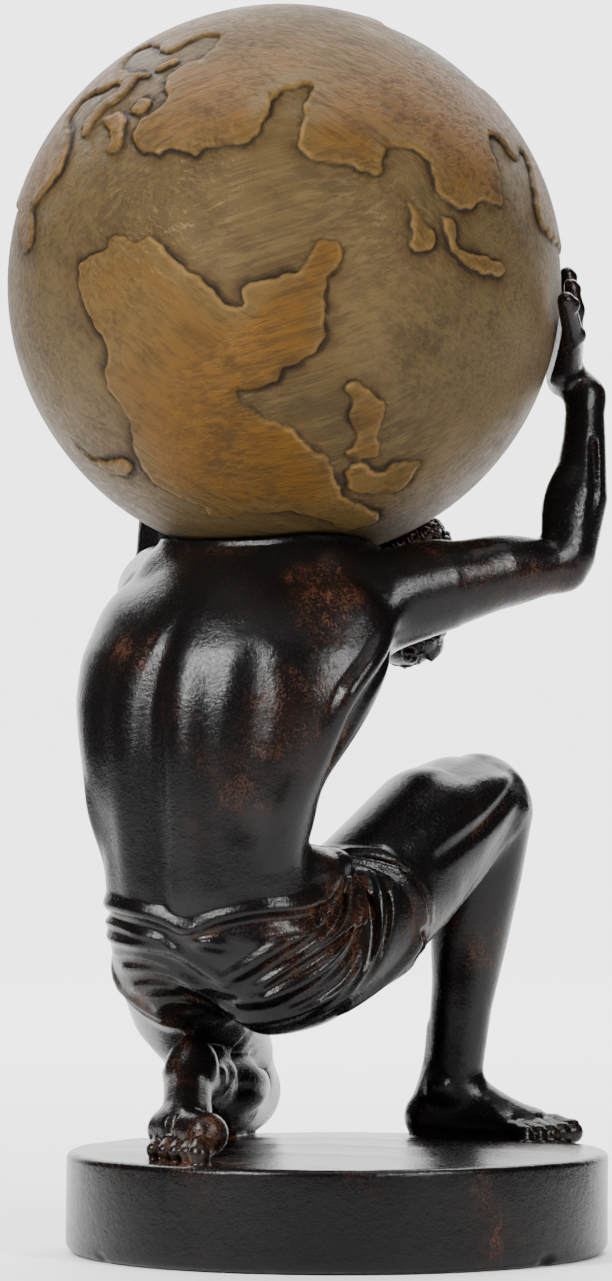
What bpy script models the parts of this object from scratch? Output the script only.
"""Atlas statue: a kneeling figure cast in one with its round plinth, and the globe it carries.

Millimetres throughout, made metres as each mesh is built. +Z is up, the figure faces -Y, its left hand is
at +X, and the origin is the centre of the plinth's underside.
"""
import math

import bmesh
import bpy
import numpy as np
from mathutils import Matrix, Vector
from mathutils.geometry import delaunay_2d_cdt

MM = 0.001

# Plinth
PLINTH_DIAMETER = 134.0
PLINTH_HEIGHT = 25.0
PLINTH_FOOT_RADIUS = 3.0
PLINTH_RIM_RADIUS = 1.6
PLINTH_SIDES = 60
PLINTH_RINGS = (0.91, 0.69, 0.36)
PLINTH_SWELL = 1.2

# Figure. Its pose and proportions are points on an original whose globe's centre is 214 mm over the
# plinth, measured from the middle of the plinth's top, and each keeps its share of the figure's height.
FIGURE_HEIGHT = 214.0
ORIGINAL_HEIGHT = 214.0
SHARE = FIGURE_HEIGHT / ORIGINAL_HEIGHT
# The torso's and the globe's middle, left of the plinth's axis, and how far the globe's is behind it
MIDDLE = 11.0
GLOBE_BEHIND = 7.0

# Globe
OCEAN_DIAMETER = 137.4
LAND_RELIEF = 0.8
SEAT_CLEARANCE = 0.3
SEAT_SEGMENTS = 72
GLOBE_CENTRE = (MIDDLE * SHARE, GLOBE_BEHIND * SHARE, FIGURE_HEIGHT)
GLOBE_POINTS = 500
COAST_STEP = 4.0
COAST_WIDTH = 0.8
# The small ring round the globe's lowest point, as a share of its radius, and its corners
NADIR_RING = 0.14
NADIR_CORNERS = 12
GOLDEN_TURN = math.pi * (3.0 - math.sqrt(5.0))

# Coasts as seen square on from the side that shows them, in hundredths of the globe's radius, right and
# up. Beyond 100 they run on over the edge of the disc. The side is given as azimuth and elevation.
NEAR_SIDE = (213.0, -5.0)
FAR_SIDE = (33.0, 5.0)
NEAR_LANDS = (
    ((-95, 27), (-94, 19), (-91, 12), (-88, 16), (-88, 27), (-82, 35), (-78, 40), (-75, 51), (-76, 58),
     (-74, 62), (-70, 66), (-63, 69), (-58, 71), (-58, 68), (-63, 65), (-68, 60), (-71, 52), (-68, 54),
     (-65, 59), (-60, 63), (-55, 67), (-51, 72), (-47, 74), (-55, 75), (-57, 78), (-54, 82), (-47, 85),
     (-42, 82), (-37, 83), (-32, 86), (-27, 88), (-22, 86), (-27, 80), (-37, 75), (-41, 71), (-40, 66),
     (-42, 62), (-50, 56), (-52, 51), (-48, 46), (-43, 45), (-39, 47), (-34, 46), (-30, 44), (-27, 47),
     (-16, 48), (-8, 52), (-2, 65), (10, 69), (8, 62), (6, 48), (10, 43), (22, 41), (34, 38), (36, 47),
     (47, 46), (51, 42), (54, 32), (62, 26), (70, 29), (76, 28), (76, 36), (72, 51), (75, 52), (82, 44),
     (84, 48), (87, 42), (90, 24), (97, 15), (108, 8), (120, 22), (125, 45), (112, 66), (93, 74),
     (79, 63), (68, 71), (52, 79), (40, 88), (28, 97), (34, 116), (20, 138), (-15, 150), (-45, 138),
     (-72, 118), (-98, 92), (-112, 66), (-110, 40), (-101, 30)),
    ((-58, 17), (-51, 15), (-44, 16), (-34, 6), (-27, 2), (-20, -6), (-14, -7), (-12, 0), (0, 3), (6, 5),
     (10, 11), (14, 15), (19, 15), (21, 10), (15, -1), (15, -16), (12, -22), (6, -27), (1, -28),
     (-3, -34), (-12, -36), (-16, -37), (-12, -42), (-6, -46), (1, -48), (11, -57), (17, -62), (21, -73),
     (34, -81), (24, -86), (11, -81), (-2, -79), (-24, -81), (-29, -77), (-39, -73), (-46, -68),
     (-51, -60), (-54, -45), (-61, -35), (-61, -21), (-68, -9), (-71, 5), (-68, 9), (-62, 12)),
    ((22, -36), (26, -33), (31, -37), (36, -43), (33, -52), (34, -59), (26, -60), (22, -58), (26, -53),
     (23, -44), (25, -40)),
    ((22, -68), (24, -63), (29, -62), (34, -66), (39, -62), (47, -62), (46, -66), (40, -72), (25, -72)),
    ((43, 29), (46, 27), (48, 23), (52, 19), (53, 14), (46, 11), (44, 14), (45, 20)),
    ((55, 24), (60, 21), (60, 15), (65, 11), (76, 8), (77, 4), (72, 3), (65, 6), (59, 11), (57, 17)),
    ((-63, 58), (-56, 60), (-55, 53), (-56, 49), (-58, 46), (-61, 47), (-60, 53)),
    ((-53, 60), (-49, 65), (-46, 64), (-48, 60)),
    ((-45, 75), (-41, 78), (-37, 79), (-38, 77)),
    ((-72, -58), (-66, -62), (-56, -61), (-53, -66), (-61, -66)))
FAR_LANDS = (
    ((-24, 22), (2, 30), (30, 22), (38, 0), (28, -25), (35, -48), (18, -66), (2, -52), (-6, -28),
     (-28, -10), (-32, 8)),
    ((-70, -20), (-58, -8), (-46, -22), (-50, -46), (-62, -58), (-72, -42)),
    ((55, 12), (66, 18), (72, 2), (64, -12), (54, -4)))

# Clay: the grid's pitch, the width it is worked over round each shape, and the triangles that are kept
CLAY_PITCH = 1.3
CLAY_MARGIN = 8.0
FIGURE_FACES = 5100
# How far the fingertips' room reaches over the globe's middle, and the box that holds the figure up to
# there, both in the original's millimetres
HAND_ROOM = 12.0
CLAY_BOX = ((-76.0, -76.0, -6.0), (98.0, 76.0, GLOBE_CENTRE[2] / SHARE + HAND_ROOM))

# The torso's level sections: height, middle from front to back, half width, half depth
TORSO = (
    (43.0, 34.0, 24.0, 15.0), (52.0, 35.6, 27.8, 19.0), (62.0, 39.4, 27.8, 18.6),
    (73.5, 43.3, 27.3, 14.5), (85.5, 43.5, 30.2, 14.8), (97.5, 41.5, 34.0, 17.0),
    (110.5, 36.0, 39.0, 21.5), (122.5, 29.0, 41.0, 26.0), (132.5, 22.0, 38.0, 27.5),
    (140.5, 16.0, 33.5, 27.0), (147.5, 12.5, 29.0, 23.5), (152.5, 10.0, 24.0, 19.5))

# How far the spine lies to the left of the middle at some heights, by the body's twist
SPINE_LINE = ((56.0, 0.8), (74.0, 2.8), (91.0, 4.0), (108.0, 5.2), (119.0, 4.4), (134.0, 0.8))

# The head: its middle, and how far it is turned to its right and bowed, in degrees
HEAD = (0.0, -29.0, 142.5)
HEAD_TURN = 15.0
HEAD_BOW = 25.0
LOCKS = 58
# Beard's rows: how far ahead and over the head's middle, and half the width
BEARD_ROWS = ((10.4, -11.4, 10.2), (11.8, -14.6, 8.6), (11.0, -17.6, 6.4))

# Right wrist, and each finger's knuckle and length in degrees up the globe. The left hand mirrors it.
WRIST = (-49.2, -37.6, 186.5)
FINGERS = ((-9.0, 9.0), (-7.8, 10.6), (-8.2, 9.8), (-9.8, 7.6))


class Clay:
    """Modelling clay: signed distances in millimetres on a regular grid, negative inside the form."""

    def __init__(self, low, high, pitch):
        self.low = np.array(low, float)
        self.pitch = pitch
        counts = np.ceil((np.array(high, float) - self.low) / pitch).astype(int) + 1
        self.field = np.full(counts, 3.0 * CLAY_MARGIN, np.float32)

    def window(self, low, high, margin):
        """The part of the grid round a box, and open coordinate arrays for it."""
        first = np.floor((np.array(low) - margin - self.low) / self.pitch).astype(int)
        last = np.ceil((np.array(high) + margin - self.low) / self.pitch).astype(int) + 1
        first = np.clip(first, 0, self.field.shape)
        last = np.clip(last, first, self.field.shape)
        x, y, z = (self.low[i] + self.pitch * np.arange(first[i], last[i]) for i in range(3))
        part = tuple(slice(a, b) for a, b in zip(first, last))
        return part, (x[:, None, None], y[None, :, None], z[None, None, :])

    def add(self, *shapes, blend=4.0):
        """Presses shapes on, rounding each join over the blend's width."""
        for distance, low, high in shapes:
            part, grid = self.window(low, high, CLAY_MARGIN)
            old, new = self.field[part], distance(*grid)
            join = np.maximum(blend - np.abs(old - new), 0.0) / blend
            self.field[part] = np.minimum(old, new) - join * join * blend * 0.25

    def cut(self, *shapes, blend=2.0):
        """Cuts shapes away, rounding each edge over the blend's width."""
        for distance, low, high in shapes:
            part, grid = self.window(low, high, CLAY_MARGIN)
            old, new = self.field[part], -distance(*grid)
            join = np.maximum(blend - np.abs(old - new), 0.0) / blend
            self.field[part] = np.maximum(old, new) + join * join * blend * 0.25

    def coat(self, thickness, shape, blend=1.0):
        """Thickens the form where it lies inside the shape, as cloth does."""
        distance, low, high = shape
        part, grid = self.window(low, high, CLAY_MARGIN)
        old, new = self.field[part], np.maximum(self.field[part] - thickness, distance(*grid))
        join = np.maximum(blend - np.abs(old - new), 0.0) / blend
        self.field[part] = np.minimum(old, new) - join * join * blend * 0.25

    def level(self, point):
        """The signed distance at a point, read between the grid's nodes."""
        place = (np.array(point) - self.low) / self.pitch
        base = np.clip(np.floor(place).astype(int), 0, np.array(self.field.shape) - 2)
        share = place - base
        value = 0.0
        for step in np.ndindex(2, 2, 2):
            weight = np.prod(np.where(step, share, 1.0 - share))
            value += weight * self.field[tuple(base + step)]
        return value

    def land(self, start, towards, reach=60.0):
        """The outermost point of the form along a line from start."""
        start, towards = np.array(start, float), np.array(towards, float)
        towards /= np.linalg.norm(towards)
        far = reach
        while far > 0.0 and self.level(start + far * towards) > 0.0:
            far -= 0.5 * self.pitch
        return start + far * towards

    def close_touches(self):
        """Fills the places where the form meets itself only along an edge of the grid."""
        touches = True
        while touches:
            touches = False
            for a, b in ((0, 1), (0, 2), (1, 2)):
                views = []
                for i, j in ((0, 0), (1, 1), (0, 1), (1, 0)):
                    part = [slice(None)] * 3
                    part[a], part[b] = slice(i, i - 1 or None), slice(j, j - 1 or None)
                    views.append(self.field[tuple(part)])
                solid = [view < 0.0 for view in views]
                cross = (solid[0] == solid[1]) & (solid[2] == solid[3]) & (solid[0] != solid[2])
                if cross.any():
                    touches = True
                    for view in views:
                        view[cross] = np.minimum(view[cross], -0.05 * self.pitch)

    def skin(self):
        """The form's surface as corner points and four-sided faces."""
        self.close_touches()
        solid = self.field < 0.0
        corners = list(np.ndindex(2, 2, 2))
        shape = tuple(n - 1 for n in solid.shape)
        count = np.zeros(shape, np.int8)
        for i, j, k in corners:
            count += solid[i:i + shape[0], j:j + shape[1], k:k + shape[2]]
        cells = np.argwhere((count > 0) & (count < 8))
        number = np.full(shape, -1, np.int32)
        number[tuple(cells.T)] = np.arange(len(cells))
        values = np.stack([self.field[tuple((cells + c).T)] for c in corners], axis=1)
        total, hits = np.zeros((len(cells), 3)), np.zeros(len(cells))
        for a, b in ((a, b) for a in range(8) for b in range(a + 1, 8)):
            step = np.subtract(corners[b], corners[a])
            if np.abs(step).sum() != 1:
                continue
            crossed = (values[:, a] < 0.0) != (values[:, b] < 0.0)
            share = np.where(crossed, values[:, a] / np.where(crossed, values[:, a] - values[:, b], 1.0), 0.0)
            total += np.where(crossed[:, None], corners[a] + share[:, None] * step, 0.0)
            hits += crossed
        points = self.low + self.pitch * (cells + total / hits[:, None])
        faces = []
        for axis in range(3):
            u, v = np.eye(3, dtype=int)[(axis + 1) % 3], np.eye(3, dtype=int)[(axis + 2) % 3]
            low, high = [slice(1, -1)] * 3, [slice(1, -1)] * 3
            low[axis], high[axis] = slice(0, -1), slice(1, None)
            change = solid[tuple(low)] != solid[tuple(high)]
            nodes = np.argwhere(change) + 1 - np.eye(3, dtype=int)[axis]
            ring = np.stack([number[tuple((nodes - s).T)] for s in (0 * u, u, u + v, v)], axis=1)
            inward = solid[tuple(nodes.T)]
            faces.append(ring[inward])
            faces.append(ring[~inward][:, ::-1])
        return points, np.concatenate(faces)


def tube(points, radii):
    """A round limb through the points, with a radius at each."""
    points = [np.array(p, float) * SHARE for p in points]
    radii = [r * SHARE for r in np.broadcast_to(radii, len(points))]

    def distance(x, y, z):
        nearest = None
        for a, b, ra, rb in zip(points, points[1:], radii, radii[1:]):
            run = b - a
            along = ((x - a[0]) * run[0] + (y - a[1]) * run[1] + (z - a[2]) * run[2]) / run.dot(run)
            along = np.clip(along, 0.0, 1.0)
            gap = np.sqrt((x - a[0] - along * run[0]) ** 2 + (y - a[1] - along * run[1]) ** 2
                          + (z - a[2] - along * run[2]) ** 2) - (ra + (rb - ra) * along)
            nearest = gap if nearest is None else np.minimum(nearest, gap)
        return nearest

    widest = max(radii)
    return distance, np.min(points, axis=0) - widest, np.max(points, axis=0) + widest


def egg(centre, radii, turn=None):
    """An ellipsoid. turn holds its own axes as rows, or is left out."""
    centre = np.array(centre, float) * SHARE
    radii = np.array(radii, float) * SHARE
    turn = np.eye(3) if turn is None else np.array(turn, float)

    def distance(x, y, z):
        near, far = 0.0, 0.0
        for axis, radius in zip(turn, radii):
            step = axis[0] * (x - centre[0]) + axis[1] * (y - centre[1]) + axis[2] * (z - centre[2])
            near = near + (step / radius) ** 2
            far = far + (step / radius ** 2) ** 2
        near, far = np.sqrt(near), np.sqrt(far)
        return near * (near - 1.0) / np.maximum(far, 1e-6)

    reach = np.sqrt(((turn.T * radii) ** 2).sum(axis=1))
    return distance, centre - reach, centre + reach


def muscle(start, end, width, thickness, facing):
    """A spindle of muscle from start to end, its flat side towards facing."""
    start, end = np.array(start, float), np.array(end, float)
    length = np.linalg.norm(end - start)
    along = (end - start) / length
    out = np.array(facing, float) - along * along.dot(facing)
    out /= np.linalg.norm(out)
    across = np.cross(out, along)
    return egg((start + end) / 2, (length / 2, width / 2, thickness / 2), (along, across, out))


def across(vector):
    """The same point on the figure's other side."""
    return (2 * MIDDLE - vector[0], vector[1], vector[2])


def pair(start, end, width, thickness, facing):
    """A muscle and its twin on the other side."""
    other = (-facing[0], facing[1], facing[2])
    return (muscle(start, end, width, thickness, facing),
            muscle(across(start), across(end), width, thickness, other))


def twin_tubes(points, radii):
    """A limb and its twin on the other side."""
    return tube(points, radii), tube([across(p) for p in points], radii)


def torso_section(height):
    """The middle, half width and half depth of the torso at a height, eased between its sections."""
    table = np.array(TORSO)
    parts = []
    for column in (1, 2, 3):
        eased = 0.0
        for shift, weight in ((-3.0, 0.25), (0.0, 0.5), (3.0, 0.25)):
            eased = eased + weight * np.interp(height + shift, table[:, 0], table[:, column])
        parts.append(eased)
    return parts


def torso():
    """The torso's plain body, an oval lofted through its sections."""
    low, high = TORSO[0][0], TORSO[-1][0]

    def distance(x, y, z):
        height = z / SHARE
        middle, width, depth = (part * SHARE for part in torso_section(height))
        dx, dy = x - MIDDLE * SHARE, y - middle
        near = np.sqrt((dx / width) ** 2 + (dy / depth) ** 2)
        far = np.sqrt((dx / width ** 2) ** 2 + (dy / depth ** 2) ** 2)
        side = near * (near - 1.0) / np.maximum(far, 1e-6)
        return np.maximum(side, np.maximum(low - height, height - high) * SHARE)

    return (distance, np.array((MIDDLE - 45, -10, low)) * SHARE, np.array((MIDDLE + 45, 62, high)) * SHARE)


def on_torso(turn, height, lift):
    """A point over the torso's plain body: turn in degrees from the front towards its right."""
    middle, width, depth = torso_section(height)
    turn = math.radians(turn)
    return (MIDDLE - (width + lift) * math.sin(turn), middle - (depth + lift) * math.cos(turn), height)


def spine(height):
    """Where the spine lies from side to side at a height."""
    table = np.array(SPINE_LINE)
    return MIDDLE + float(np.interp(height, table[:, 0], table[:, 1]))


def model_torso(clay):
    """The torso with its muscles, ribs and the spine's furrow."""
    clay.add(torso(), blend=1.0)
    # Columns beside the spine, the broad back, the shoulder blades, and the neck's slope
    for side in (-1, 1):
        clay.add(tube([(spine(z) + side * x, y, z) for x, y, z in (
            (8.4, 50.0, 56), (8.3, 52.2, 76), (8.7, 52.8, 96), (8.3, 50.4, 114), (6.0, 42.0, 132))],
            (5.0, 5.6, 6.2, 6.2, 4.0)), blend=4.0)
    clay.add(*pair((-28, 25, 130), (-8, 50.5, 85), 22, 15, (-0.6, 0.8, 0.0)), blend=6.0)
    clay.add(*pair((-26, 24, 131), (-17, 42, 96), 12, 9, (-0.9, 0.4, 0.0)), blend=5.0)
    clay.add(*pair((-25, 26, 135), (-6, 42, 124), 16, 10, (-0.4, 0.9, 0.2)), blend=6.0)
    clay.add(*pair((7, 48, 108), (-10, 24, 148), 17, 8, (-0.2, 1.0, 0.2)), blend=6.0)
    # Chest, ribs and belly
    clay.add(*pair((7, 4.5, 118), (-21, 7, 132), 22, 11, (-0.1, -1.0, -0.2)), blend=4.0)
    for row in range(4):
        height = 115.0 - 7.5 * row
        clay.add(*twin_tubes([on_torso(86 - 4 * row, height + 4, -2.2),
                              on_torso(62 - 4 * row, height - 3, -1.5)], (3.0, 2.0)), blend=2.0)
    for row in range(3):
        height = 106.0 - 10.5 * row
        clay.add(*pair(on_torso(3, height, -1.0), on_torso(24, height - 1, -0.5), 9.5, 6, (-0.2, -1.0, 0.0)),
                 blend=2.5)
    clay.add(*pair(on_torso(88, 94, -4.2), on_torso(88, 72, -4.2), 18, 6, (-1.0, -0.1, 0.0)), blend=5.0)
    clay.add(*pair((7, 27, 139), (-20, 17, 139), 24, 25, (0.0, 1.0, 0.6)), blend=4.0)
    # Edge of the broad back over the ribs, the crease before it, and the spine's furrow
    clay.add(tube([on_torso(82, 134, 1.0), on_torso(93, 122, 1.6), on_torso(101, 112, 1.8),
                   on_torso(98, 102, 0.6), on_torso(94, 92, -1.0)], (2.0, 2.4, 2.4, 2.0, 1.0)), blend=3.0)
    clay.cut(tube([on_torso(71, 133, 1.8), on_torso(81, 121, 2.8), on_torso(87, 111, 3.0),
                   on_torso(84, 101, 1.6), on_torso(80, 92, 0.8)], (0.4, 1.6, 1.7, 1.2, 0.3)), blend=2.0)
    clay.cut(tube([(spine(z), y, z) for y, z in (
        (59.0, 64), (60.4, 78), (61.0, 96), (59.8, 112), (56.4, 126), (50.2, 138))],
        (2.0, 3.0, 3.5, 3.5, 3.1, 2.0)), blend=3.0)


def model_pelvis(clay):
    """The buttocks and the hips under the loincloth."""
    clay.add(egg((22.0, 35.5, 50), (10.6, 13.5, 18.2)), egg((-3.5, 34.0, 50), (14, 15, 19)), blend=6.0)
    clay.add(egg((MIDDLE, 26.0, 50), (22, 14, 16)), blend=5.0)


def model_right_leg(clay):
    """The right leg, its knee raised and its shin upright."""
    clay.add(tube([(-5, 30, 50), (-7, 14, 58), (-10, -5, 68.5), (-12.5, -22, 78.5), (-14.5, -43, 86.5)],
                  (15, 14, 15.2, 16, 11.5)), blend=5.0)
    clay.add(tube([(-6, 24, 48), (-10, 3, 56.5), (-12.5, -14, 65), (-14.5, -33, 77)],
                  (15, 15, 13.2, 9.5)), blend=5.0)
    clay.add(tube([(-16, -46, 83), (-12.8, -47.3, 68), (-9.3, -47.8, 50), (-6.2, -48.3, 34),
                   (-4.4, -48.6, 20), (-2.8, -48.6, 12)], (11, 10.4, 9.2, 7.8, 7.2, 7.4)), blend=4.0)
    clay.add(muscle((-14, -42, 78), (-6, -44.5, 38), 16, 13, (0.2, 1.0, 0.0)), blend=4.0)
    # Outer thigh, kneecap, the tendon down the knee's outer side, the shin's ridge
    clay.add(muscle((-18, 4, 68), (-25, -42, 90), 19, 12, (-1.0, 0.0, 0.3)), blend=4.0)
    clay.add(egg((-15, -52.5, 87.5), (6.5, 4.5, 7.0)), blend=3.0)
    clay.add(tube([(-16, -53, 80), (-14, -55, 72)], (4.0, 3.0)), blend=3.0)
    clay.add(tube([(-24, -44, 84), (-23, -34, 74), (-21, -20, 62)], (3.6, 3.6, 2.6)), blend=3.0)
    clay.add(tube([(-13.5, -55.5, 70), (-9.5, -55, 48), (-6, -54, 24)], (2.2, 2.2, 1.6)), blend=4.0)
    clay.cut(tube([(-29, -40, 79), (-27, -28, 66), (-22, -16, 53)], (2.4, 2.8, 1.8)), blend=3.0)


def model_right_foot(clay):
    """The right foot, flat on the plinth with five toes."""
    clay.add(egg((2.0, -47.8, 5.6), (7.4, 7.0, 7.2)), blend=4.0)
    clay.add(tube([(-2.4, -48.6, 12), (-11, -51.3, 8.2), (-22.5, -54.5, 4.0)], (7.2, 5.9, 3.6)), blend=4.0)
    clay.add(tube([(-6, -51, 4.4), (-22, -57.5, 3.8)], (4.8, 4.2)), blend=4.0)
    clay.add(tube([(0, -45, 4), (-19, -48.5, 3.4)], (4.4, 3.6)), blend=4.0)
    clay.add(egg((-3.4, -42.0, 13.2), (3.2, 2.4, 3.4)), egg((-1.0, -56.0, 14.2), (3.2, 2.4, 3.4)), blend=3.0)
    for toe in range(5):
        share = toe / 4.0
        knuckle = (-22.5 + 2.5 * share * share, -58.6 + 11.6 * share, 3.5 - 0.4 * share)
        bend = (knuckle[0] - 4.6 + 1.2 * share, knuckle[1] - 0.9 + 1.2 * share, 3.9 - 0.6 * share)
        tip = (knuckle[0] - 9.4 + 3.0 * share, knuckle[1] - 1.4 + 2.2 * share, 2.6 - 0.4 * share)
        size = 2.9 if toe == 0 else 2.2 - 0.2 * share
        clay.add(tube([knuckle, bend, tip], (size + 0.2, size, size)), blend=1.2)


def model_left_leg(clay):
    """The left leg, its knee and shin on the plinth."""
    clay.add(tube([(26.5, 30.5, 46.5), (37, 6, 34), (46, -17, 22), (52, -32, 13)],
                  (14, 15.5, 13, 10.5)), blend=5.0)
    clay.add(tube([(52, -33, 10.5), (43, -12, 11.5), (33, 8, 14.5), (26, 20, 17)],
                  (10.4, 10.6, 8.8, 6.6)), blend=4.0)
    clay.add(egg((53.5, -40, 9.5), (7, 5, 7)), blend=3.0)
    clay.add(muscle((34, -14, 14), (26, 16, 17), 16, 15, (-0.6, 0.3, 0.8)), blend=4.0)


def model_left_foot(clay):
    """The left foot, standing on its bent toes over the plinth's rim."""
    clay.add(tube([(25, 21, 17), (22.5, 28, 17)], (6.6, 6.2)), blend=4.0)
    clay.add(egg((20.6, 33.2, 21.4), (6.6, 6.0, 7.4)), blend=3.0)
    clay.add(tube([(20.4, 35.2, 18), (16.0, 42.0, 13.6), (13, 46.6, 9.0)], (6.2, 6.2, 6.6)), blend=3.5)
    # The two pads of the ball, and the toes
    clay.add(tube([(17.4, 48.2, 7.0), (12.0, 50.8, 7.4)], (5.2, 5.4)), blend=2.5)
    clay.add(tube([(7.0, 52.8, 7.2), (1.8, 54.8, 6.8)], (5.6, 5.6)), blend=2.5)
    for toe in range(5):
        share = toe / 4.0
        knuckle = (0.4 + 16.2 * share, 57.8 - 6.0 * share, 3.8)
        tip = (-1.8 + 18.0 * share, 62.8 - 7.0 * share, 2.8)
        size = 3.2 if toe == 0 else 2.5 - 0.3 * share
        clay.add(tube([knuckle, tip], (size, size)), blend=1.2)


def arm(clay, side):
    """One arm from shoulder to wrist. side is 1 for the right, which the points are given for."""
    def at(*points):
        return [p if side > 0 else across(p) for p in points]

    def flesh(start, end, width, thickness, facing):
        start, end = at(start, end)
        return muscle(start, end, width, thickness, (facing[0] * side, facing[1], facing[2]))

    ahead, aside = (0.0, 0.0) if side > 0 else (-7.0, 3.0)
    elbow = (-50.5 - aside, -24.0 + ahead, 144.5)
    clay.add(tube(at((-22, 11, 135), (-31, 2 + ahead / 4, 138.5), (-41.5, -10 + ahead / 2, 141.8),
                     (-47.5 - aside, -19.5 + ahead, 143.5), elbow), (12.0, 11.0, 8.2, 7.0, 6.4)), blend=5.0)
    clay.add(flesh((-20, 16, 140), (-40, -6 + ahead / 2, 142), 17, 12, (-0.6, 0.6, 0.4)), blend=4.0)
    clay.add(flesh((-34, 1 + ahead / 3, 145.5), (-48.5, -18.5 + ahead, 147.5), 12, 9, (-0.2, 0.3, 1.0)),
             blend=3.0)
    clay.add(flesh((-33, -1 + ahead / 3, 137), (-48, -18.5 + ahead, 139.8), 11, 8, (-0.6, 0.4, -0.8)),
             blend=3.0)
    clay.add(tube(at((-50.5 - aside, -24.0 + ahead, 143.5), (-51.2 - aside, -26.0 + ahead, 148),
                     (-52.0 - 0.6 * aside, -29.8 + ahead * 0.7, 161),
                     (-50.8, -34.3 + ahead * 0.3, 175), WRIST), (5.4, 6.8, 7.0, 5.4, 4.6)), blend=3.0)
    clay.add(flesh((-51, -22 + ahead, 146), (-50.5, -30 + ahead / 2, 170), 13, 9.5, (-0.9, 0.6, 0.0)),
             blend=3.0)


def on_globe(turn, rise, lift, side):
    """A point over the globe: turn in degrees from its side towards its front, rise over its middle."""
    turn, rise = math.radians(turn), math.radians(rise)
    reach = (OCEAN_DIAMETER / 2 + LAND_RELIEF + SEAT_CLEARANCE) / SHARE + lift
    point = (GLOBE_CENTRE[0] / SHARE - reach * math.cos(rise) * math.cos(turn),
             GLOBE_CENTRE[1] / SHARE - reach * math.cos(rise) * math.sin(turn),
             GLOBE_CENTRE[2] / SHARE + reach * math.sin(rise))
    return point if side > 0 else across(point)


def hand(clay, side):
    """One hand laid on the globe, fingers up. side is 1 for the right."""
    wrist = WRIST if side > 0 else across(WRIST)
    out = np.array(on_globe(40, -14, 1, side)) - np.array(on_globe(40, -14, 0, side))
    clay.add(tube([wrist, on_globe(38, -17, 4.4, side)], (4.4, 4.2)), blend=3.0)
    clay.add(muscle(on_globe(37, -20, 3.0, side), on_globe(44, -6, 2.0, side), 17, 7, out), blend=3.0)
    clay.add(muscle(on_globe(36, -20, 2.6, side), on_globe(29, -9, 2.8, side), 9, 8, out), blend=3.0)
    clay.add(tube([on_globe(32, -16, 3.2, side), on_globe(24, -10, 3.2, side), on_globe(17, -4.5, 2.2, side)],
                  (3.2, 2.6, 2.2)), blend=2.0)
    for finger, (knuckle, length) in enumerate(FINGERS):
        turn = 38.0 + 3.6 * finger
        spread = 0.9 * (finger - 1)
        points = [on_globe(turn, knuckle, 2.8, side),
                  on_globe(turn + 0.5 * spread, knuckle + 0.5 * length, 3.0, side),
                  on_globe(turn + spread, knuckle + length, 1.6, side)]
        clay.add(tube(points, (2.5, 2.3, 2.0)), blend=1.2)


def head_frame():
    """The head's own axes: to its left, forward and up."""
    turn, bow = math.radians(HEAD_TURN), math.radians(HEAD_BOW)
    left = np.array((math.cos(turn), -math.sin(turn), 0.0))
    ahead = np.array((-math.sin(turn) * math.cos(bow), -math.cos(turn) * math.cos(bow), -math.sin(bow)))
    return np.array((left, ahead, np.cross(ahead, left)))


def model_head(clay):
    """The neck, the bowed head, its face and its beard."""
    frame = head_frame()

    def at(left, ahead, up):
        return tuple(np.array(HEAD) + np.array((left, ahead, up)) @ frame)

    def lump(left, ahead, up, *radii):
        return egg(at(left, ahead, up), radii, frame)

    clay.add(tube([(11, 15, 134), (8, -2, 136), (3, -17, 138)], (16, 13.5, 12)), blend=6.0)
    clay.add(lump(0, -2, 2.5, 13.0, 15.5, 14.0), lump(0, 6, -6, 10.8, 10.2, 13.5), blend=4.0)
    clay.add(lump(0, 5.5, -12, 9.4, 9.0, 6.6), blend=4.0)
    for side in (-1, 1):
        clay.add(lump(side * 8, 9.6, -4.8, 3.8, 3.4, 2.8), blend=3.0)
        clay.add(lump(side * 13.0, -0.5, -3.5, 1.8, 3.2, 4.4), blend=1.5)
    clay.add(tube([at(-9, 12.4, 1.8), at(-4.5, 15.0, 2.6), at(0, 15.0, 1.6), at(4.5, 15.0, 2.6),
                   at(9, 12.4, 1.8)], (1.5, 1.8, 1.4, 1.8, 1.5)), blend=2.0)
    for side in (-1, 1):
        clay.cut(lump(side * 5.2, 15.6, -1.6, 3.6, 2.8, 2.2), blend=1.5)
        clay.add(lump(side * 5.2, 12.4, -1.7, 3.0, 2.0, 1.9), blend=0.8)
    clay.add(tube([at(0, 14.8, 0.6), at(0, 17.2, -4.5), at(0, 18.4, -7.2)], (1.5, 1.7, 2.2)), blend=1.5)
    for side in (-1, 1):
        clay.add(lump(side * 2.2, 16.4, -7.4, 1.4, 1.9, 1.4), blend=1.0)
        clay.add(tube([at(0.8 * side, 16.8, -9.8), at(4.4 * side, 15.6, -11.0), at(7.6 * side, 12.8, -14.6)],
                      (1.5, 1.8, 1.4)), blend=1.2)
    clay.add(tube([at(-3, 15.8, -12.6), at(0, 16.8, -12.8), at(3, 15.8, -12.6)], (0.9, 1.3, 0.9)), blend=0.8)
    clay.add(lump(0, 9.4, -14.2, 9.5, 7.2, 6.0), blend=2.5)
    model_locks(clay, at)


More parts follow.
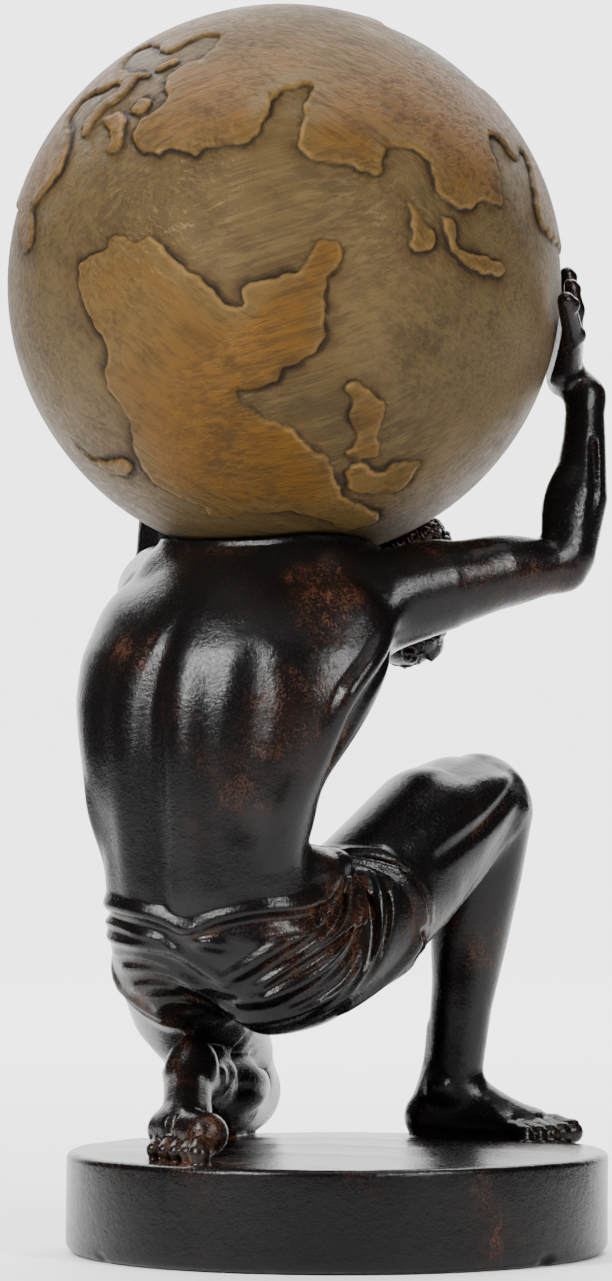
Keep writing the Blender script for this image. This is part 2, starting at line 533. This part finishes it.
def model_locks(clay, at):
    """Short curls over the scalp and hanging ones in the beard, each a small bent roll."""
    for lock in range(LOCKS):
        up = 1.0 - 1.35 * (lock + 0.5) / LOCKS
        turn = GOLDEN_TURN * lock
        ring = math.sqrt(1.0 - up * up)
        side, ahead = ring * math.sin(turn), ring * math.cos(turn)
        if ahead > 0.45 and up < 0.62 or abs(side) > 0.8 and up < -0.1:
            continue
        centre = np.array((13.2 * side, -2.0 + 15.6 * ahead, 2.5 + 14.2 * up))
        sway = np.array((math.cos(turn), -math.sin(turn), 0.0)) * (2.4 if lock % 2 else -2.4)
        fall = np.array((side * up, ahead * up, -ring)) * 2.6
        points = [at(*(centre - fall)), at(*(centre * 1.05 + 0.5 * sway)), at(*(centre + fall))]
        clay.add(tube(points, (2.2, 2.7, 1.9)), blend=0.9)
    for row, (ahead, up, reach) in enumerate(BEARD_ROWS):
        for lock in range(6 - row):
            share = 2.0 * lock / (5 - row) - 1.0
            side = share * reach
            front = ahead + 4.0 * math.cos(share * 1.5) - 2.0
            points = [at(side, front, up + 2.2), at(side * 1.08 + 0.7, front + 1.0, up),
                      at(side, front + 0.2, up - 2.4)]
            clay.add(tube(points, (1.9, 2.3, 1.5)), blend=0.9)


def fold(clay, points, radius, sink=0.45, blend=1.6):
    """A roll of cloth through points given as turn from the back towards the right, and height."""
    path = []
    for turn, height in points:
        turn = math.radians(turn)
        out = np.array((-math.sin(turn), math.cos(turn), 0.0))
        path.append(clay.land(np.array((MIDDLE, 34.0, height)) * SHARE, out) / SHARE - sink * radius * out)
    ends = [0.7 * radius] + [radius] * (len(path) - 2) + [0.7 * radius]
    clay.add(tube(path, ends), blend=blend)


def model_cloth(clay):
    """The loincloth: a coat over hips and thigh tops, drawn to a knot at the right hip."""
    cover, low, high = tube([(24, 34, 40), (MIDDLE, 36, 46), (-4, 24, 50), (-9, 10, 57)], (27, 28, 25, 20.5))

    def region(x, y, z):
        rise = 0.13 * np.abs(x - MIDDLE * SHARE) + 0.85 * np.maximum(34.0 * SHARE - y, 0.0)
        waist = z - np.minimum(55.0 * SHARE + rise, 75.0 * SHARE)
        return np.maximum(cover(x, y, z), waist)

    clay.coat(1.4, (region, low, high), blend=1.0)
    fold(clay, [(-75, 62), (-50, 59), (-20, 57), (4, 55), (19, 53), (38, 50), (52, 45)], 2.4)
    fold(clay, [(19, 54), (33, 56), (57, 58.5), (85, 61.5), (101, 68), (118, 73)], 2.4)
    fold(clay, [(118, 71), (98, 59), (72, 53.5), (56, 48.5), (44, 44)], 2.2)
    fold(clay, [(120, 68), (106, 60), (91, 50), (71, 43), (56, 39.5), (40, 39)], 2.3)
    fold(clay, [(122, 67), (113, 56), (104, 45), (88, 37.5), (66, 34.5), (45, 34)], 2.5)
    fold(clay, [(-70, 52), (-45, 51), (-12, 51), (14, 49), (36, 44)], 2.0)
    fold(clay, [(-62, 44), (-30, 46), (2, 46), (28, 41.5), (46, 37)], 2.0)
    fold(clay, [(-50, 36), (-20, 41), (10, 38), (34, 34)], 2.0)
    fold(clay, [(124, 76), (129, 62), (131, 51), (127, 43), (118, 37)], 1.9)
    fold(clay, [(-120, 60), (-95, 52), (-70, 42), (-48, 33), (-25, 31)], 2.0)
    fold(clay, [(-150, 66), (-128, 54), (-104, 42)], 2.0)
    fold(clay, [(150, 72), (170, 66), (-168, 60), (-146, 50)], 2.0)


def model_figure():
    """The whole figure in clay, from its feet in the plinth to its hands on the globe."""
    low, high = (np.array(corner) * SHARE for corner in CLAY_BOX)
    clay = Clay(low, high, CLAY_PITCH)
    model_torso(clay)
    model_pelvis(clay)
    model_right_leg(clay)
    model_left_leg(clay)
    model_cloth(clay)
    model_right_foot(clay)
    model_left_foot(clay)
    for side in (1, -1):
        arm(clay, side)
        hand(clay, side)
    model_head(clay)
    return clay


def new_object(name, points, faces, material):
    """An object from points in millimetres."""
    mesh = bpy.data.meshes.new(name)
    corners = [tuple(point * MM) for point in np.asarray(points, float)]
    mesh.from_pydata(corners, [], [tuple(map(int, face)) for face in faces])
    mesh.update()
    thing = bpy.data.objects.new(name, mesh)
    bpy.context.scene.collection.objects.link(thing)
    if material is not None:
        mesh.materials.append(material)
    return thing


def new_material(name, colour, metallic, roughness):
    """A plain material for one piece."""
    material = bpy.data.materials.new(name)
    material.use_nodes = True
    shader = material.node_tree.nodes["Principled BSDF"]
    shader.inputs["Base Color"].default_value = (*colour, 1.0)
    shader.inputs["Metallic"].default_value = metallic
    shader.inputs["Roughness"].default_value = roughness
    return material


def apply_modifiers(thing):
    """Makes the object's mesh the result of its modifiers, and takes them off."""
    graph = bpy.context.evaluated_depsgraph_get()
    mesh = bpy.data.meshes.new_from_object(thing.evaluated_get(graph), depsgraph=graph)
    old = thing.data
    thing.modifiers.clear()
    thing.data = mesh
    bpy.data.meshes.remove(old)


def remove(thing):
    """Deletes an object."""
    bpy.data.objects.remove(thing, do_unlink=True)


def boolean(thing, other, operation):
    """Joins the other object to this one or cuts it away, and deletes the other."""
    step = thing.modifiers.new(operation.title(), "BOOLEAN")
    step.operation, step.object, step.solver = operation, other, "EXACT"
    apply_modifiers(thing)
    remove(other)


def plinth_swell(share, turn):
    """How far the plinth's slightly uneven top stands over its rim, at a share of its radius."""
    out = share / PLINTH_RINGS[0]
    return PLINTH_SWELL * (1.0 - out * out) * (1.0 + 0.25 * math.sin(2.0 * turn + 0.6) * out)


def build_plinth(material):
    """The plinth turned about its axis, rounded at the foot and eased at the rim."""
    radius = PLINTH_DIAMETER / 2
    profile = []
    for step in range(4):
        turn = math.radians(30.0 * step)
        profile.append((radius - PLINTH_FOOT_RADIUS * (1 - math.sin(turn)),
                        PLINTH_FOOT_RADIUS * (1 - math.cos(turn))))
    for step in range(3):
        turn = math.radians(45.0 * step)
        profile.append((radius - PLINTH_RIM_RADIUS * (1 - math.cos(turn)),
                        PLINTH_HEIGHT - PLINTH_RIM_RADIUS * (1 - math.sin(turn))))
    points = [(0.0, 0.0, 0.0)]
    rings = [[]]
    turns = [2 * math.pi * side / PLINTH_SIDES for side in range(PLINTH_SIDES)]
    for reach, height in profile:
        rings.append(list(range(len(points), len(points) + PLINTH_SIDES)))
        points += [(reach * math.cos(t), reach * math.sin(t), height) for t in turns]
    for share in PLINTH_RINGS:
        every = 1 if share == PLINTH_RINGS[0] else 2
        first = len(points)
        points += [(share * radius * math.cos(t), share * radius * math.sin(t),
                    PLINTH_HEIGHT + plinth_swell(share, t)) for t in turns[::every]]
        rings.append([first + side // every for side in range(PLINTH_SIDES)])
    points.append((0.0, 0.0, PLINTH_HEIGHT + plinth_swell(0.0, 0.0)))
    faces = []
    for ring, above in zip([[0] * PLINTH_SIDES] + rings[1:], rings[1:] + [[len(points) - 1] * PLINTH_SIDES]):
        for side in range(PLINTH_SIDES):
            after = (side + 1) % PLINTH_SIDES
            corners = [ring[side], ring[after], above[after], above[side]]
            face = [c for i, c in enumerate(corners) if c != corners[i - 1]]
            if len(face) > 2:
                faces.append(face)
    return new_object("plinth", points, faces, material)


def build_figure(material):
    """The figure thinned, joined to its plinth and cut away where the globe sits."""
    points, faces = model_figure().skin()
    points[:, 2] += PLINTH_HEIGHT
    figure = new_object("atlas_figure_and_plinth", points, faces, material)
    thin = figure.modifiers.new("Thin", "DECIMATE")
    thin.ratio = FIGURE_FACES / (2.0 * len(faces))
    apply_modifiers(figure)
    boolean(figure, build_plinth(material), "UNION")
    seat = bpy.data.meshes.new("seat")
    shaper = bmesh.new()
    bmesh.ops.create_uvsphere(shaper, u_segments=SEAT_SEGMENTS, v_segments=SEAT_SEGMENTS // 2, radius=1.0)
    reach = OCEAN_DIAMETER / 2 + LAND_RELIEF + SEAT_CLEARANCE
    reach /= math.cos(math.pi / SEAT_SEGMENTS) ** 2
    bmesh.ops.transform(shaper, verts=shaper.verts, matrix=Matrix.Translation(
        Vector(GLOBE_CENTRE) * MM + Vector((0, 0, PLINTH_HEIGHT * MM))) @ Matrix.Scale(reach * MM, 4))
    shaper.to_mesh(seat)
    shaper.free()
    cutter = bpy.data.objects.new("seat", seat)
    bpy.context.scene.collection.objects.link(cutter)
    cutter.hide_render, cutter.display_type = True, "WIRE"
    boolean(figure, cutter, "DIFFERENCE")
    return figure


def disc_directions(outline, side):
    """Unit directions from the globe's centre for an outline drawn on its disc as one side shows it."""
    azimuth, rise = (math.radians(angle) for angle in side)
    out = np.array((math.sin(azimuth) * math.cos(rise), -math.cos(azimuth) * math.cos(rise), math.sin(rise)))
    right = np.array((math.cos(azimuth), math.sin(azimuth), 0.0))
    places = np.array(outline, float) / 100.0
    reach = np.linalg.norm(places, axis=1)
    kept = np.where(reach > 1.0, 2.0 - reach, reach)
    depth = np.where(reach > 1.0, -1.0, 1.0) * np.sqrt(1.0 - kept * kept)
    places = places * (kept / reach)[:, None]
    return places[:, :1] * right + places[:, 1:] * np.cross(out, right) + depth[:, None] * out


def smooth_loop(corners, step):
    """A closed curve through the corners, cut into near equal steps of a length on the unit globe."""
    before, after = np.roll(corners, 1, axis=0), np.roll(corners, -1, axis=0)
    beyond = np.roll(corners, -2, axis=0)
    fine = []
    for share in np.arange(0.0, 1.0, 0.125):
        fine.append(0.5 * (2 * corners + (after - before) * share
                           + (2 * before - 5 * corners + 4 * after - beyond) * share ** 2
                           + (3 * corners - before - 3 * after + beyond) * share ** 3))
    fine = np.stack(fine, axis=1).reshape(-1, 3)
    fine /= np.linalg.norm(fine, axis=1)[:, None]
    closed = np.vstack((fine, fine[:1]))
    length = np.concatenate(((0.0,), np.cumsum(np.linalg.norm(np.diff(closed, axis=0), axis=1))))
    count = max(6, round(length[-1] / step))
    marks = np.arange(count) * length[-1] / count
    loop = np.stack([np.interp(marks, length, closed[:, axis]) for axis in range(3)], axis=1)
    return loop / np.linalg.norm(loop, axis=1)[:, None]


def flat(directions):
    """The globe's directions on a plane, projected from its lowest point."""
    return directions[:, :2] / (1.0 + directions[:, 2:])


def on_land(places, loops):
    """Which places on the plane lie inside the coasts."""
    inside = np.zeros(len(places), bool)
    for loop in loops:
        x, y = loop[:, 0], loop[:, 1]
        next_x, next_y = np.roll(x, -1), np.roll(y, -1)
        above = (y[None] > places[:, 1:]) != (next_y[None] > places[:, 1:])
        rise = np.where(next_y == y, 1.0, next_y - y)
        crossing = x + (places[:, 1:] - y) * (next_x - x) / rise
        inside |= (above & (places[:, :1] < crossing)).sum(axis=1) % 2 == 1
    return inside


def build_globe(material):
    """The globe with its lands raised, a net of triangles that follows each coast."""
    radius = OCEAN_DIAMETER / 2
    coasts = [disc_directions(land, NEAR_SIDE) for land in NEAR_LANDS]
    coasts += [disc_directions(land, FAR_SIDE) for land in FAR_LANDS]
    coasts = [smooth_loop(coast, COAST_STEP / radius) for coast in coasts]
    shores = []
    for coast in coasts:
        along = np.roll(coast, -1, axis=0) - np.roll(coast, 1, axis=0)
        aside = np.cross(coast, along)
        aside *= 0.5 * COAST_WIDTH / radius / np.linalg.norm(aside, axis=1)[:, None]
        for shift in (aside, -aside):
            shore = coast + shift
            shores.append(shore / np.linalg.norm(shore, axis=1)[:, None])
    rows = np.arange(GLOBE_POINTS) + 0.5
    height = 1.0 - 2.0 * rows / GLOBE_POINTS
    turn = GOLDEN_TURN * rows
    ring = np.sqrt(1.0 - height * height)
    inner = np.stack((ring * np.cos(turn), ring * np.sin(turn), height), axis=1)
    coast_points = np.concatenate(coasts)
    gap = np.sqrt(((inner[:, None] - coast_points[None]) ** 2).sum(axis=2).min(axis=1))
    lowest = -math.sqrt(1.0 - (NADIR_RING + COAST_STEP / radius) ** 2)
    inner = inner[(gap > 0.75 * COAST_STEP / radius) & (height > lowest)]
    turn = 2.0 * math.pi * np.arange(NADIR_CORNERS) / NADIR_CORNERS
    nadir = np.stack((NADIR_RING * np.cos(turn), NADIR_RING * np.sin(turn),
                      np.full(NADIR_CORNERS, -math.sqrt(1.0 - NADIR_RING ** 2))), axis=1)
    directions = np.concatenate(shores + [inner, nadir])
    edges, start = [], 0
    for shore in shores:
        edges += [(start + i, start + (i + 1) % len(shore)) for i in range(len(shore))]
        start += len(shore)
    places = flat(directions)
    net = delaunay_2d_cdt([Vector(p) for p in places], edges, [], 0, 1e-6, True)
    found = np.array([tuple(p) for p in net[0]])
    origin = net[3]
    for index, sources in enumerate(origin):
        if sources:
            found[index] = places[sources[0]]
    size = (found ** 2).sum(axis=1)
    unit = np.concatenate((2 * found, 1 - size[:, None]), axis=1) / (1 + size)[:, None]
    land = on_land(found, [flat(coast) for coast in coasts])
    points = unit * (radius + LAND_RELIEF * land)[:, None]
    faces = [tuple(f) for f in net[2]]
    sides = {}
    for face in faces:
        for a, b in zip(face, face[1:] + face[:1]):
            sides[(a, b)] = True
    rim = [(a, b) for a, b in sides if (b, a) not in sides]
    points = np.vstack((points, (0.0, 0.0, -radius))) + np.array(GLOBE_CENTRE) + (0.0, 0.0, PLINTH_HEIGHT)
    faces += [(b, a, len(points) - 1) for a, b in rim]
    return new_object("globe", points, faces, material)


def main():
    """Builds both pieces in an empty scene."""
    for thing in list(bpy.data.objects):
        remove(thing)
    patina = new_material("dark_patina", (0.035, 0.024, 0.02), 0.3, 0.35)
    gold = new_material("antique_gold", (0.42, 0.27, 0.08), 0.5, 0.45)
    build_figure(patina)
    build_globe(gold)


main()
